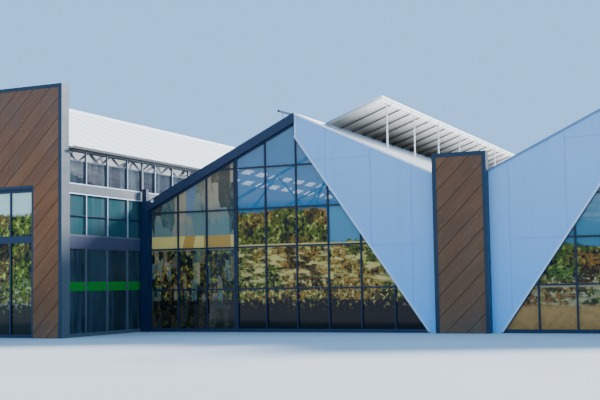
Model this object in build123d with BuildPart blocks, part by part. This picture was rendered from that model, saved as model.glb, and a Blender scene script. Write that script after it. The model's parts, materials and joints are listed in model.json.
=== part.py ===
from build123d import *
from math import atan2, cos, degrees, radians, sin
import os

os.makedirs("parts", exist_ok=True)

# Driving sizes, in millimetres

pane = 1200.0  # one glazed bay, centre to centre of the uprights
panes_across = 10  # panes in the span of one gable
panes_deep = 22  # panes from the gable fronts to the rear wall
panes_per_truss = 4  # panes from one roof truss to the next

peak_height = 7700.0  # top of the verge at the peak of a low gable
valley_height = 4850.0  # top of the verge at the valley and at the right eave
rail_heights = (1530.0, 3020.0, 4380.0, 5860.0)  # centres of the rails in the gable glazing
bar_width = 55.0  # face of an upright or a rail
bar_depth = 60.0  # bars stand this far in front of the glass
coupled_upright = 2  # panes from the peak line to the wide upright
coupled_width = 150.0
sill_height = 120.0  # bottom rail of the glazing
glass_thickness = 24.0

verge_depth = 350.0  # upright height of the dark verge beam
verge_proud = 130.0  # the verge stands in front of the glazing bars
verge_cap_height = 70.0  # pale cap on the closed slope
verge_cap_proud = 90.0

panel_top = 6880.0  # where the slanted edge of the white panel starts, at the peak line
panel_foot = 1180.0  # width of the white panel at the ground
panel_proud = 40.0

pillar_width = 1810.0
pillar_depth = 300.0
pillar_height = 5880.0
pillar_trim = 135.0  # width of the metal border on the face of the pillar
pillar_trim_proud = 25.0
pillar_reveal = 30.0  # thickness of the metal sheet round the timber

corner_column_proud = 120.0  # the column stands in front of the glazing bars
corner_stub_width = 180.0
corner_stub_height = 450.0

roof_thickness = 90.0  # measured upright
roof_upstand = 80.0  # the verge rises this far above the roof sheet
ridge_box_reach = 170.0  # half width of the ridge box at the roof
ridge_box_top = 110.0  # half width of its flat top
ridge_box_rise = 40.0  # flat top above the peak
vent_reach = 1500.0  # roof opening under a large flap, from the peak line
vent_end = 1200.0  # from the rear wall to the flap
valley_gutter_width = 360.0
valley_gutter_depth = 170.0
gutter_wall = 12.0
eave_gutter_width = 180.0
eave_gutter_depth = 90.0

flap_length = 2400.0  # large ridge flap, hinge to free edge
flap_tilt = 20.4  # degrees above level, free edge up
flap_setback = 2600.0  # from the gable front to the flap
flap_sheet = 30.0
flap_rib_width = 45.0
flap_rib_depth = 90.0
flap_rib_start = 60.0  # clear of the hinge
narrow_flap_length = 620.0
narrow_flap_tilt = 19.0
narrow_flap_rail_depth = 40.0
rod_width = 50.0
rod_inset = 150.0  # from the free edge of a flap to the middle of its rods
rod_rail_width = 90.0  # rail under a flap that its rods push on
rod_spacing = 3250.0
rod_first = 750.0  # from the front end of the flap to its first rod

wing_projection = 4900.0  # the wing stands this far in front of the gables
wing_eave_height = 6470.0  # top of the wing's gutter
party_gap = 360.0  # between the wing's side wall and the first gable, filled by the corner column
screen_thickness = 400.0
screen_height = 8550.0
screen_trim = 120.0  # width of the metal border on the screen
screen_trim_proud = 25.0
screen_sheet = 30.0  # metal sheet over the top and the ends of the screen
shopfront_margin = 1230.0  # from the corner of the wing to the shopfront opening
shopfront_height = 5040.0
shopfront_frame = 110.0
shopfront_rail_height = 3330.0
shopfront_rail = 240.0
shopfront_setback = 120.0
shopfront_panes = 10
doorway_panes = 2  # width of the doorway, in panes of the shopfront
doorway_height = 2600.0

side_post_width = 55.0
side_first_post = 1400.0  # from the front of the screen to the first post
side_post_step = 1280.0
clerestory_first_post = 880.0  # from the back of the gable front to the first post over the low roof
side_beam_bottom = 4850.0
side_beam_height = 370.0
side_rail_height = 3420.0

column_size = 200.0
truss_chord_height = 4400.0  # middle of the bottom chord in the low halls
chord_size = 90.0
web_size = 60.0  # face of a truss web, and both faces of a girder bar
girder_depth = 420.0
girder_step = 1300.0
truss_panels = 4
floor_thickness = 80.0
front_gable_thickness = 60.0

# Derived places

half_span = pane * panes_across / 2
gable_span = 2 * half_span
hall_depth = pane * panes_deep
rise = peak_height - valley_height
slope = rise / half_span
pitch = degrees(atan2(rise, half_span))
wall_thickness = bar_depth + glass_thickness
total_width = eave_gutter_width + gable_span + party_gap + 2 * gable_span + party_gap
total_depth = screen_trim_proud + wing_projection + hall_depth

left_x = -total_width / 2 + eave_gutter_width
wing_right_x = left_x + gable_span
wing_ridge_x = left_x + half_span
gable_1_x = wing_right_x + party_gap
peak_1_x = gable_1_x + half_span
valley_x = gable_1_x + gable_span
peak_2_x = valley_x + half_span
right_x = valley_x + gable_span

screen_front_y = -total_depth / 2 + screen_trim_proud
screen_back_y = screen_front_y + screen_thickness
front_y = screen_front_y + wing_projection
rear_y = total_depth / 2

roof_valley_top = valley_height - roof_upstand
roof_peak_top = peak_height - roof_upstand
wing_peak_top = roof_peak_top + wing_eave_height - roof_valley_top


def front_plane(y):
    # upright plane facing the front, drawn in x and z
    return Plane.XZ.offset(-y)


def side_plane(x):
    # upright plane facing right, drawn in y and z
    return Plane.YZ.offset(x)


def save(builder, label):
    builder.part.label = label
    export_step(builder.part, f"parts/{label}.step")


def roof_z(x, peak_x, peak_z):
    # height of a slope at x, falling both ways from the peak
    return peak_z - slope * abs(x - peak_x)


# Front and rear glazing of the gables


def glazed_wall(outline, uprights, rail_zs, y):
    # bars inside an outline, with a border all round and a deeper sill
    zs = [z for _, z in outline]
    xs = [x for x, _ in outline]
    mid_x = (min(xs) + max(xs)) / 2
    with BuildPart() as frame:
        with BuildSketch(front_plane(y)):
            for x, width in uprights:
                with Locations((x, max(zs) / 2)):
                    Rectangle(width, max(zs))
            for z in rail_zs:
                with Locations((mid_x, z)):
                    Rectangle(max(xs) - min(xs), bar_width)
            with Locations((mid_x, sill_height / 2)):
                Rectangle(max(xs) - min(xs), sill_height)
            with BuildLine():
                Polyline(*outline, close=True)
            make_face(mode=Mode.INTERSECT)
        extrude(amount=-bar_depth)
        with BuildSketch(front_plane(y)):
            with BuildLine():
                Polyline(*outline, close=True)
            make_face()
            offset(amount=-bar_width, kind=Kind.INTERSECTION, mode=Mode.SUBTRACT)
        extrude(amount=-bar_depth)
    return frame


def glass_sheet(outline, y):
    with BuildPart() as sheet:
        with BuildSketch(front_plane(y)):
            with BuildLine():
                Polyline(*outline, close=True)
            make_face()
        extrude(amount=-glass_thickness)
    return sheet


def glazing_outline(peak_x, side):
    # open glazing of a gable: side is 1 where the white panel is on the right
    eave_u = -half_span
    under_eave = valley_height - verge_depth
    under_peak = peak_height - verge_depth
    foot_u = half_span - panel_foot
    points = [(eave_u, 0), (eave_u, under_eave), (0, under_peak), (0, panel_top), (foot_u, 0)]
    return [(peak_x + side * u, z) for u, z in points]


def upright_places(peak_x, wide_step=None):
    # middle and face width of each upright between the ends of a gable
    steps = range(-panes_across // 2 + 1, panes_across // 2)
    return [(peak_x + step * pane, coupled_width if step == wide_step else bar_width) for step in steps]


glass_y = front_y + bar_depth
for label, peak_x, side in (("left", peak_1_x, 1), ("right", peak_2_x, -1)):
    outline = glazing_outline(peak_x, side)
    uprights = upright_places(peak_x, -side * coupled_upright)
    save(glazed_wall(outline, uprights, rail_heights, front_y), f"{label}_gable_bars")
    save(glass_sheet(outline, glass_y), f"{label}_gable_glass")

    # white panel that fills the rest of the gable, down to the valley
    with BuildPart() as panel:
        with BuildSketch(front_plane(front_y - panel_proud)):
            with BuildLine():
                Polyline(
                    (peak_x, panel_top),
                    (peak_x, peak_height - verge_cap_height),
                    (peak_x + side * half_span, valley_height - verge_cap_height),
                    (peak_x + side * half_span, 0),
                    (peak_x + side * (half_span - panel_foot), 0),
                    close=True,
                )
            make_face()
        extrude(amount=-(panel_proud + wall_thickness))
    save(panel, f"{label}_white_panel")

    # pale cap along the top of the white panel, down to the side of the pillar
    cap_end_u = half_span - pillar_width / 2
    cap_end_z = peak_height - slope * cap_end_u
    with BuildPart() as cap:
        with BuildSketch(front_plane(front_y - verge_cap_proud)):
            with BuildLine():
                Polyline(
                    (peak_x, peak_height),
                    (peak_x, peak_height - verge_cap_height),
                    (peak_x + side * cap_end_u, cap_end_z - verge_cap_height),
                    (peak_x + side * cap_end_u, cap_end_z),
                    close=True,
                )
            make_face()
        extrude(amount=-(verge_cap_proud + wall_thickness))
    save(cap, f"{label}_verge_cap")

    # dark verge beam over the glazed slope
    with BuildPart() as verge:
        with BuildSketch(front_plane(front_y - verge_proud)):
            with BuildLine():
                Polyline(
                    (peak_x, peak_height),
                    (peak_x - side * half_span, valley_height),
                    (peak_x - side * half_span, valley_height - verge_depth),
                    (peak_x, peak_height - verge_depth),
                    close=True,
                )
            make_face()
        extrude(amount=-(verge_proud + wall_thickness))
    save(verge, f"{label}_verge_beam")

# Dark corner columns at the two ends of the gable fronts, each with a rainwater stub on top

for label, column_x in (
    ("left", gable_1_x - party_gap / 2),
    ("right", right_x + party_gap / 2),
):
    column_mid_y = front_y + (wall_thickness - corner_column_proud) / 2
    with BuildPart() as column:
        with BuildSketch(Plane.XY):
            with Locations((column_x, column_mid_y)):
                Rectangle(party_gap, corner_column_proud + wall_thickness)
        extrude(amount=valley_height)
        with BuildSketch(Plane.XY.offset(valley_height)):
            with Locations((column_x, column_mid_y)):
                Rectangle(corner_stub_width, corner_stub_width)
        extrude(amount=corner_stub_height)
    save(column, f"{label}_corner_column")

# Timber pillar in front of the valley, in a metal case

pillar_y = front_y - panel_proud - pillar_depth
with BuildPart() as pillar:
    with BuildSketch(Plane.XY):
        with Locations((valley_x, pillar_y + pillar_depth / 2)):
            Rectangle(pillar_width - 2 * pillar_reveal, pillar_depth)
    extrude(amount=pillar_height - pillar_reveal)
save(pillar, "valley_pillar")

with BuildPart() as pillar_case:
    with BuildSketch(front_plane(pillar_y - pillar_trim_proud)):
        with Locations((valley_x, pillar_height / 2)):
            Rectangle(pillar_width, pillar_height)
        with Locations((valley_x, (pillar_height - pillar_trim) / 2)):
            Rectangle(pillar_width - 2 * pillar_trim, pillar_height - pillar_trim, mode=Mode.SUBTRACT)
    extrude(amount=-pillar_trim_proud)
    with BuildSketch(front_plane(pillar_y)):
        with Locations((valley_x, pillar_height / 2)):
            Rectangle(pillar_width, pillar_height)
        with Locations((valley_x, (pillar_height - pillar_reveal) / 2)):
            Rectangle(
                pillar_width - 2 * pillar_reveal, pillar_height - pillar_reveal, mode=Mode.SUBTRACT
            )
    extrude(amount=-pillar_depth)
save(pillar_case, "pillar_case")

# Timber screen wall of the wing, split beside and over the shopfront

shopfront_left = left_x + shopfront_margin
shopfront_right = wing_right_x - shopfront_margin
pier_width = shopfront_margin - screen_sheet
for label, pier_x in (
    ("left", left_x + screen_sheet + pier_width / 2),
    ("right", wing_right_x - screen_sheet - pier_width / 2),
):
    with BuildPart() as pier:
        with BuildSketch(Plane.XY):
            with Locations((pier_x, screen_front_y + screen_thickness / 2)):
                Rectangle(pier_width, screen_thickness)
        extrude(amount=shopfront_height)
    save(pier, f"screen_{label}_pier")

with BuildPart() as screen_head:
    with BuildSketch(front_plane(screen_front_y)):
        with Locations((wing_ridge_x, (shopfront_height + screen_height - screen_sheet) / 2)):
            Rectangle(
                gable_span - 2 * screen_sheet, screen_height - screen_sheet - shopfront_height
            )
    extrude(amount=-screen_thickness)
save(screen_head, "screen_head")

# Metal border on the face of the screen and the sheets over its top and ends

with BuildPart() as screen_border:
    with BuildSketch(front_plane(screen_front_y - screen_trim_proud)):
        with Locations((wing_ridge_x, screen_height / 2)):
            Rectangle(gable_span, screen_height)
        with Locations((wing_ridge_x, (screen_height - screen_trim) / 2)):
            Rectangle(
                gable_span - 2 * screen_trim, screen_height - screen_trim, mode=Mode.SUBTRACT
            )
    extrude(amount=-screen_trim_proud)
save(screen_border, "screen_border")

with BuildPart() as screen_sheets:
    with BuildSketch(front_plane(screen_front_y)):
        with Locations((wing_ridge_x, screen_height / 2)):
            Rectangle(gable_span, screen_height)
        with Locations((wing_ridge_x, (screen_height - screen_sheet) / 2)):
            Rectangle(
                gable_span - 2 * screen_sheet, screen_height - screen_sheet, mode=Mode.SUBTRACT
            )
    extrude(amount=-screen_thickness)
save(screen_sheets, "screen_end_sheets")

# Shopfront in the screen: frame with a deep transom, a doorway in the middle and glass

shopfront_width = shopfront_right - shopfront_left
shopfront_step = (shopfront_width - shopfront_frame) / shopfront_panes
doorway_width = doorway_panes * shopfront_step - bar_width
shopfront_y = screen_front_y + shopfront_setback
with BuildPart() as shopfront:
    with BuildSketch(front_plane(shopfront_y)):
        with Locations((wing_ridge_x, shopfront_height / 2)):
            Rectangle(shopfront_width, shopfront_height)
            Rectangle(
                shopfront_width - 2 * shopfront_frame,
                shopfront_height - 2 * shopfront_frame,
                mode=Mode.SUBTRACT,
            )
        for step in range(1, shopfront_panes):
            step_x = shopfront_left + shopfront_frame / 2 + step * shopfront_step
            with Locations((step_x, shopfront_height / 2)):
                Rectangle(bar_width, shopfront_height)
        with Locations((wing_ridge_x, shopfront_rail_height)):
            Rectangle(shopfront_width, shopfront_rail)
        with Locations((wing_ridge_x, (doorway_height + bar_width) / 2)):
            Rectangle(doorway_width + 2 * bar_width, doorway_height + bar_width)
        with Locations((wing_ridge_x, doorway_height / 2)):
            Rectangle(doorway_width, doorway_height, mode=Mode.SUBTRACT)
    extrude(amount=-bar_depth)
save(shopfront, "shopfront_frame")

with BuildPart() as shopfront_glass:
    with BuildSketch(front_plane(shopfront_y + bar_depth)):
        with Locations((wing_ridge_x, shopfront_height / 2)):
            Rectangle(shopfront_width, shopfront_height)
        with Locations((wing_ridge_x, doorway_height / 2)):
            Rectangle(doorway_width, doorway_height, mode=Mode.SUBTRACT)
    extrude(amount=-glass_thickness)
save(shopfront_glass, "shopfront_glass")

# Long side walls: pale posts, rails and a deep beam in front of one sheet of glass


def side_bars(x, outward, y_start, y_end, post_ys, bottom, top, rails):
    # outward is 1 for a wall that faces right and -1 for one that faces left
    with BuildPart() as bars:
        with BuildSketch(side_plane(x)):
            for y in post_ys:
                with Locations((y, (bottom + top) / 2)):
                    Rectangle(side_post_width, top - bottom)
            for rail_bottom, rail_height in rails:
                with Locations(((y_start + y_end) / 2, rail_bottom + rail_height / 2)):
                    Rectangle(y_end - y_start, rail_height)
        extrude(amount=-outward * bar_depth)
    return bars


def side_glass(x, outward, y_start, y_end, bottom, top):
    with BuildPart() as sheet:
        with BuildSketch(side_plane(x - outward * bar_depth)):
            with Locations(((y_start + y_end) / 2, (bottom + top) / 2)):
                Rectangle(y_end - y_start, top - bottom)
        extrude(amount=-outward * glass_thickness)
    return sheet


def posts_between(first, y_start, y_end):
    # an edge post at each end and the regular posts that lie between
    count = int((y_end - first) // side_post_step) + 1
    regular = [first + step * side_post_step for step in range(count)]
    inner = [y for y in regular if y_start + side_post_width < y < y_end - side_post_width]
    return [y_start + side_post_width / 2, *inner, y_end - side_post_width / 2]


wing_wall_top = wing_eave_height - roof_thickness
low_wall_top = roof_valley_top - roof_thickness
gable_back_y = front_y + wall_thickness
wing_first_y = screen_front_y + side_first_post
clerestory_first_y = gable_back_y + clerestory_first_post
rear_inner_y = rear_y - wall_thickness
clerestory_bottom = roof_valley_top - valley_gutter_depth
sill = (0, sill_height)
middle_rail = (side_rail_height, bar_width)
beam = (side_beam_bottom, side_beam_height)
wing_top_rail = (wing_wall_top - bar_width, bar_width)
low_top_rail = (low_wall_top - bar_width, bar_width)

side_walls = (
    # name, outer face, outward, start, end, first post, bottom, top, rails
    ("entrance_side", wing_right_x, 1, screen_back_y, gable_back_y, wing_first_y,
     0, wing_wall_top, (sill, middle_rail, beam, wing_top_rail)),
    ("clerestory", wing_right_x, 1, gable_back_y, rear_inner_y, clerestory_first_y,
     clerestory_bottom, wing_wall_top, ((clerestory_bottom, bar_width), beam, wing_top_rail)),
    ("wing_left_side", left_x, -1, screen_back_y, rear_inner_y, wing_first_y,
     0, wing_wall_top, (sill, middle_rail, beam, wing_top_rail)),
    ("right_side", right_x, 1, gable_back_y, rear_inner_y, gable_back_y + side_post_step,
     0, low_wall_top, (sill, middle_rail, low_top_rail)),
)
for label, x, outward, y_start, y_end, first_y, bottom, top, rails in side_walls:
    post_ys = posts_between(first_y, y_start, y_end)
    save(side_bars(x, outward, y_start, y_end, post_ys, bottom, top, rails), f"{label}_bars")
    save(side_glass(x, outward, y_start, y_end, bottom, top), f"{label}_glass")

# Rear walls: glazed gables with uprights in line with the front

valley_edge = valley_gutter_width / 2
valley_roof_top = roof_valley_top + slope * valley_edge
under_valley_roof = valley_roof_top - roof_thickness
under_valley_gutter = valley_roof_top - valley_gutter_depth
low_rear_outline = [
    (gable_1_x, 0),
    (gable_1_x, low_wall_top),
    (peak_1_x, roof_peak_top - roof_thickness),
    (valley_x - valley_edge, under_valley_roof),
    (valley_x - valley_edge, under_valley_gutter),
    (valley_x + valley_edge, under_valley_gutter),
    (valley_x + valley_edge, under_valley_roof),
    (peak_2_x, roof_peak_top - roof_thickness),
    (right_x, low_wall_top),
    (right_x, 0),
]
low_rear_uprights = upright_places(peak_1_x) + [(valley_x, bar_width)] + upright_places(peak_2_x)
wing_rear_outline = [
    (left_x, 0),
    (left_x, wing_wall_top),
    (wing_ridge_x, wing_peak_top - roof_thickness),
    (wing_right_x, wing_wall_top),
    (wing_right_x, 0),
]
rear_rail_heights = rail_heights[1::2]  # every second rail of the front
for label, outline, uprights in (
    ("low_rear", low_rear_outline, low_rear_uprights),
    ("wing_rear", wing_rear_outline, upright_places(wing_ridge_x)),
):
    save(glazed_wall(outline, uprights, rear_rail_heights, rear_y - bar_depth), f"{label}_bars")
    save(glass_sheet(outline, rear_y - wall_thickness), f"{label}_glass")

# Rear of the party gap, in line with the corner column at the front
with BuildPart() as rear_column:
    with BuildSketch(Plane.XY):
        with Locations((wing_right_x + party_gap / 2, rear_y - wall_thickness / 2)):
            Rectangle(party_gap, wall_thickness)
    extrude(amount=clerestory_bottom)
save(rear_column, "rear_party_column")

# Front gable of the wing, behind the screen and up to the roof
with BuildPart() as wing_front_gable:
    with BuildSketch(front_plane(screen_back_y)):
        with BuildLine():
            Polyline(
                (left_x, wing_wall_top),
                (wing_ridge_x, wing_peak_top - roof_thickness),
                (wing_right_x, wing_wall_top),
                close=True,
            )
        make_face()
    extrude(amount=-front_gable_thickness)
save(wing_front_gable, "wing_front_gable")

# Roof slopes, open under the large flaps


def roof_slope(peak_x, peak_z, eave_x, y_start, y_end, vented):
    eave_z = roof_z(eave_x, peak_x, peak_z)
    with BuildPart() as slab:
        with BuildSketch(front_plane(y_start)):
            with BuildLine():
                Polyline(
                    (peak_x, peak_z),
                    (eave_x, eave_z),
                    (eave_x, eave_z - roof_thickness),
                    (peak_x, peak_z - roof_thickness),
                    close=True,
                )
            make_face()
        extrude(amount=-(y_end - y_start))
        if vented:
            vent_y = front_y + flap_setback
            vent_length = rear_y - vent_end - vent_y
            with BuildSketch(Plane.XY.offset(eave_z)):
                with Locations((peak_x + (ridge_box_reach + vent_reach) / 2, vent_y + vent_length / 2)):
                    Rectangle(vent_reach - ridge_box_reach, vent_length)
            extrude(amount=peak_z - eave_z, mode=Mode.SUBTRACT)
    return slab


roof_slopes = (
    # name, peak, peak height, eave, start, vented
    ("wing_left_roof", wing_ridge_x, wing_peak_top, left_x, screen_back_y, False),
    ("wing_right_roof", wing_ridge_x, wing_peak_top, wing_right_x, screen_back_y, False),
    ("left_gable_left_roof", peak_1_x, roof_peak_top, gable_1_x, gable_back_y, False),
    ("left_gable_right_roof", peak_1_x, roof_peak_top, valley_x - valley_edge, gable_back_y, True),
    ("right_gable_left_roof", peak_2_x, roof_peak_top, valley_x + valley_edge, gable_back_y, False),
    ("right_gable_right_roof", peak_2_x, roof_peak_top, right_x, gable_back_y, True),
)
for label, peak_x, peak_z, eave_x, y_start, vented in roof_slopes:
    save(roof_slope(peak_x, peak_z, eave_x, y_start, rear_y, vented), label)

# Ridge boxes, sitting on both slopes

with BuildPart() as ridge_boxes:
    for peak_x, peak_z, y_start in (
        (wing_ridge_x, wing_peak_top, screen_back_y),
        (peak_1_x, roof_peak_top, gable_back_y),
        (peak_2_x, roof_peak_top, gable_back_y),
    ):
        foot_z = peak_z - slope * ridge_box_reach
        with BuildSketch(front_plane(y_start)):
            with BuildLine():
                Polyline(
                    (peak_x, peak_z),
                    (peak_x - ridge_box_reach, foot_z),
                    (peak_x - ridge_box_top, peak_z + ridge_box_rise),
                    (peak_x + ridge_box_top, peak_z + ridge_box_rise),
                    (peak_x + ridge_box_reach, foot_z),
                    close=True,
                )
            make_face()
        extrude(amount=-(rear_y - y_start))
save(ridge_boxes, "ridge_boxes")

# Ridge flaps: a sheet on ribs, standing open on rods

hinge_z = roof_peak_top + ridge_box_rise


def flap_point(peak_x, side, tilt, along, above):
    # a point at a distance along a flap from its hinge and above its underside
    turn = radians(tilt)
    reach = ridge_box_top + along * cos(turn) - above * sin(turn)
    return (peak_x + side * reach, hinge_z + along * sin(turn) + above * cos(turn))


def flap_strip(peak_x, side, tilt, along, above):
    # the four corners of a strip between two distances each way
    corners = ((along[0], above[0]), (along[1], above[0]), (along[1], above[1]), (along[0], above[1]))
    return [flap_point(peak_x, side, tilt, a, b) for a, b in corners]


def flap_underside_z(x, peak_x, side, tilt, depth):
    turn = radians(tilt)
    along = (side * (x - peak_x) - ridge_box_top - depth * sin(turn)) / cos(turn)
    return flap_point(peak_x, side, tilt, along, -depth)[1]


def rib_places(y_start, y_end):
    count = int((y_end - y_start - flap_rib_width) // pane)
    return [y_start + step * pane for step in range(count + 1)] + [y_end - flap_rib_width]


flap_end_y = rear_y - vent_end
large_start_y = front_y + flap_setback
flap_kinds = (
    # name, side, length, tilt, rail depth, start, places of the ribs
    ("large_ridge_flaps", 1, flap_length, flap_tilt, flap_rib_depth, large_start_y,
     rib_places(large_start_y, flap_end_y)),
    ("narrow_ridge_flaps", -1, narrow_flap_length, narrow_flap_tilt, narrow_flap_rail_depth,
     gable_back_y, ()),
)
for label, side, length, tilt, depth, y_start, rib_ys in flap_kinds:
    rail = (length - rod_inset - rod_rail_width / 2, length - rod_inset + rod_rail_width / 2)
    with BuildPart() as flaps:
        for peak_x in (peak_1_x, peak_2_x):
            for along, above in (((0, length), (0, flap_sheet)), (rail, (-depth, 0))):
                with BuildSketch(front_plane(y_start)):
                    with BuildLine():
                        Polyline(*flap_strip(peak_x, side, tilt, along, above), close=True)
                    make_face()
                extrude(amount=-(flap_end_y - y_start))
            for rib_y in rib_ys:
                with BuildSketch(front_plane(rib_y)):
                    with BuildLine():
                        strip = ((flap_rib_start, length), (-depth, 0))
                        Polyline(*flap_strip(peak_x, side, tilt, *strip), close=True)
                    make_face()
                extrude(amount=-flap_rib_width)
    save(flaps, label)

# Rods between the roof and the rails of the flaps

with BuildPart() as flap_rods:
    for _, side, length, tilt, depth, y_start, _ in flap_kinds:
        rod_count = int((flap_end_y - y_start - rod_first) // rod_spacing) + 1
        for peak_x in (peak_1_x, peak_2_x):
            rod_x = flap_point(peak_x, side, tilt, length - rod_inset, -depth)[0]
            low_x, high_x = rod_x - rod_width / 2, rod_x + rod_width / 2
            for step in range(rod_count):
                with BuildSketch(front_plane(y_start + rod_first + step * rod_spacing)):
                    with BuildLine():
                        Polyline(
                            (low_x, roof_z(low_x, peak_x, roof_peak_top)),
                            (high_x, roof_z(high_x, peak_x, roof_peak_top)),
                            (high_x, flap_underside_z(high_x, peak_x, side, tilt, depth)),
                            (low_x, flap_underside_z(low_x, peak_x, side, tilt, depth)),
                            close=True,
                        )
                    make_face()
                extrude(amount=-rod_width)
save(flap_rods, "flap_rods")

# Gutters: open channels between and beside the roofs

low_channels = (
    # left side, right side, top, depth, start
    (wing_right_x, gable_1_x, roof_valley_top, valley_gutter_depth, gable_back_y),
    (valley_x - valley_edge, valley_x + valley_edge, valley_roof_top, valley_gutter_depth, gable_back_y),
    (right_x, right_x + eave_gutter_width, roof_valley_top, eave_gutter_depth, gable_back_y),
)
wing_channels = (
    (left_x - eave_gutter_width, left_x, wing_eave_height, eave_gutter_depth, screen_back_y),
    (wing_right_x, wing_right_x + eave_gutter_width, wing_eave_height, eave_gutter_depth, screen_back_y),
)
for label, channels in (("low_gutters", low_channels), ("wing_gutters", wing_channels)):
    with BuildPart() as gutters:
        for x_start, x_end, top, depth, y_start in channels:
            mid_x = (x_start + x_end) / 2
            with BuildSketch(front_plane(y_start)):
                with Locations((mid_x, top - depth / 2)):
                    Rectangle(x_end - x_start, depth)
                with Locations((mid_x, top - (depth - gutter_wall) / 2)):
                    Rectangle(x_end - x_start - 2 * gutter_wall, depth - gutter_wall, mode=Mode.SUBTRACT)
            extrude(amount=-(rear_y - y_start))
    save(gutters, label)

# Roof trusses, their chords and webs drawn on middle lines

truss_count = panes_deep // panes_per_truss
truss_ys = [front_y + step * panes_per_truss * pane for step in range(1, truss_count + 1)]
wing_truss_ys = [front_y] + truss_ys
column_line = wall_thickness + column_size / 2
column_face = wall_thickness + column_size
girder_face = column_line + web_size / 2
girder_low = wing_wall_top - girder_depth
wing_chord_height = girder_low + chord_size / 2
chord_drop = roof_thickness + chord_size / 2 / cos(radians(pitch))


def truss_tops(peak_x, peak_z, x_start, x_end):
    # even places along the top chord, which lies against the roof
    xs = [x_start + (x_end - x_start) * step / truss_panels for step in range(truss_panels + 1)]
    return [(x, roof_z(x, peak_x, peak_z) - chord_drop) for x in xs]


low_spans = (
    # peak, peak height, top chord from and to, bottom chord from and to, its height
    (peak_1_x, roof_peak_top, gable_1_x + chord_size, valley_x - valley_edge - chord_size,
     wing_right_x - wall_thickness, valley_x - column_size / 2, truss_chord_height),
    (peak_2_x, roof_peak_top, valley_x + valley_edge + chord_size, right_x - column_face - chord_size,
     valley_x + column_size / 2, right_x - column_face, truss_chord_height),
)
wing_spans = (
    (wing_ridge_x, wing_peak_top, left_x + girder_face + chord_size,
     wing_right_x - girder_face - chord_size, left_x + girder_face, wing_right_x - girder_face,
     wing_chord_height),
)
for label, spans, places in (
    ("low_trusses", low_spans, truss_ys),
    ("wing_trusses", wing_spans, wing_truss_ys),
):
    with BuildPart() as trusses:
        for peak_x, peak_z, top_from, top_to, low_from, low_to, chord_z in spans:
            tops = truss_tops(peak_x, peak_z, top_from, top_to)
            feet = [((a[0] + b[0]) / 2, chord_z) for a, b in zip(tops[:-1], tops[1:])]
            planes = [front_plane(y - chord_size / 2) for y in places]
            with BuildSketch(*planes):
                with BuildLine():
                    Polyline(tops[0], tops[truss_panels // 2], tops[-1])
                trace(line_width=chord_size)
                with BuildLine():
                    Line((low_from, chord_z), (low_to, chord_z))
                trace(line_width=chord_size)
                for foot, *ends in zip(feet, tops[:-1], tops[1:]):
                    for end in ends:
                        with BuildLine():
                            Line(foot, end)
                        trace(line_width=web_size)
            extrude(amount=-chord_size)
    save(trusses, label)

# Lattice girders over the wing's two rows of columns

girder_start_y = screen_back_y + front_gable_thickness
girder_length = rear_inner_y - girder_start_y
girder_panels = int(girder_length // girder_step)
girder_panel = girder_length / girder_panels
low_z, high_z = girder_low + web_size / 2, wing_wall_top - web_size / 2
girder_planes = [side_plane(x - web_size / 2) for x in (left_x + column_line, wing_right_x - column_line)]
with BuildPart() as lattice_girders:
    with BuildSketch(*girder_planes):
        for z in (low_z, high_z):
            with Locations((girder_start_y + girder_length / 2, z)):
                Rectangle(girder_length, web_size)
        for step in range(girder_panels):
            panel_start = girder_start_y + step * girder_panel
            foot = (panel_start + girder_panel / 2, low_z)
            with BuildLine():
                Line((panel_start + web_size, high_z), foot)
            trace(line_width=web_size)
            with BuildLine():
                Line(foot, (panel_start + girder_panel - web_size, high_z))
            trace(line_width=web_size)
    extrude(amount=web_size)
save(lattice_girders, "lattice_girders")

column_rows = (
    # middle of the column, top, places
    (left_x + column_line, girder_low, wing_truss_ys),
    (wing_right_x - column_line, girder_low, wing_truss_ys),
    (valley_x, under_valley_gutter, truss_ys),
    (right_x - column_line, low_wall_top, truss_ys),
)
with BuildPart() as inner_columns:
    for x, top, places in column_rows:
        for y in places:
            with BuildSketch(Plane.XY.offset(floor_thickness)):
                with Locations((x, y)):
                    Rectangle(column_size, column_size)
            extrude(amount=top - floor_thickness)
save(inner_columns, "inner_columns")

# Floors of the wing and of the low halls, meeting under the clerestory

floor_joint_x = wing_right_x - wall_thickness
shopfront_back_y = shopfront_y + wall_thickness
with BuildPart() as wing_floor:
    with BuildSketch(Plane.XY):
        with Locations(((left_x + wall_thickness + floor_joint_x) / 2, (screen_back_y + rear_inner_y) / 2)):
            Rectangle(floor_joint_x - left_x - wall_thickness, rear_inner_y - screen_back_y)
        with Locations((wing_ridge_x, (shopfront_back_y + screen_back_y) / 2)):
            Rectangle(shopfront_width, screen_back_y - shopfront_back_y)
    extrude(amount=floor_thickness)
save(wing_floor, "wing_floor")

with BuildPart() as hall_floor:
    with BuildSketch(Plane.XY):
        with Locations(((floor_joint_x + right_x - wall_thickness) / 2, (gable_back_y + rear_inner_y) / 2)):
            Rectangle(right_x - wall_thickness - floor_joint_x, rear_inner_y - gable_back_y)
    extrude(amount=floor_thickness)
save(hall_floor, "hall_floor")
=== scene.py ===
import bpy
import json
import numpy as np
from math import radians, sin, cos
from mathutils import Matrix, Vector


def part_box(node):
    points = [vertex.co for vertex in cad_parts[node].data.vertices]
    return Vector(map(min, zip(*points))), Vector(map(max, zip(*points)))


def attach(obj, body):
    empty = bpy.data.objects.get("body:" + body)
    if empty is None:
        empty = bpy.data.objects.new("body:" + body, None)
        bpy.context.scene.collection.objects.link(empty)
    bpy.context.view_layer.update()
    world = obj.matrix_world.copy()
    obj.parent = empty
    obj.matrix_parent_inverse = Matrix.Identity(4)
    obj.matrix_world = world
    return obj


# Garden center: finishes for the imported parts, and the boards, sheets and trims around them

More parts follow.
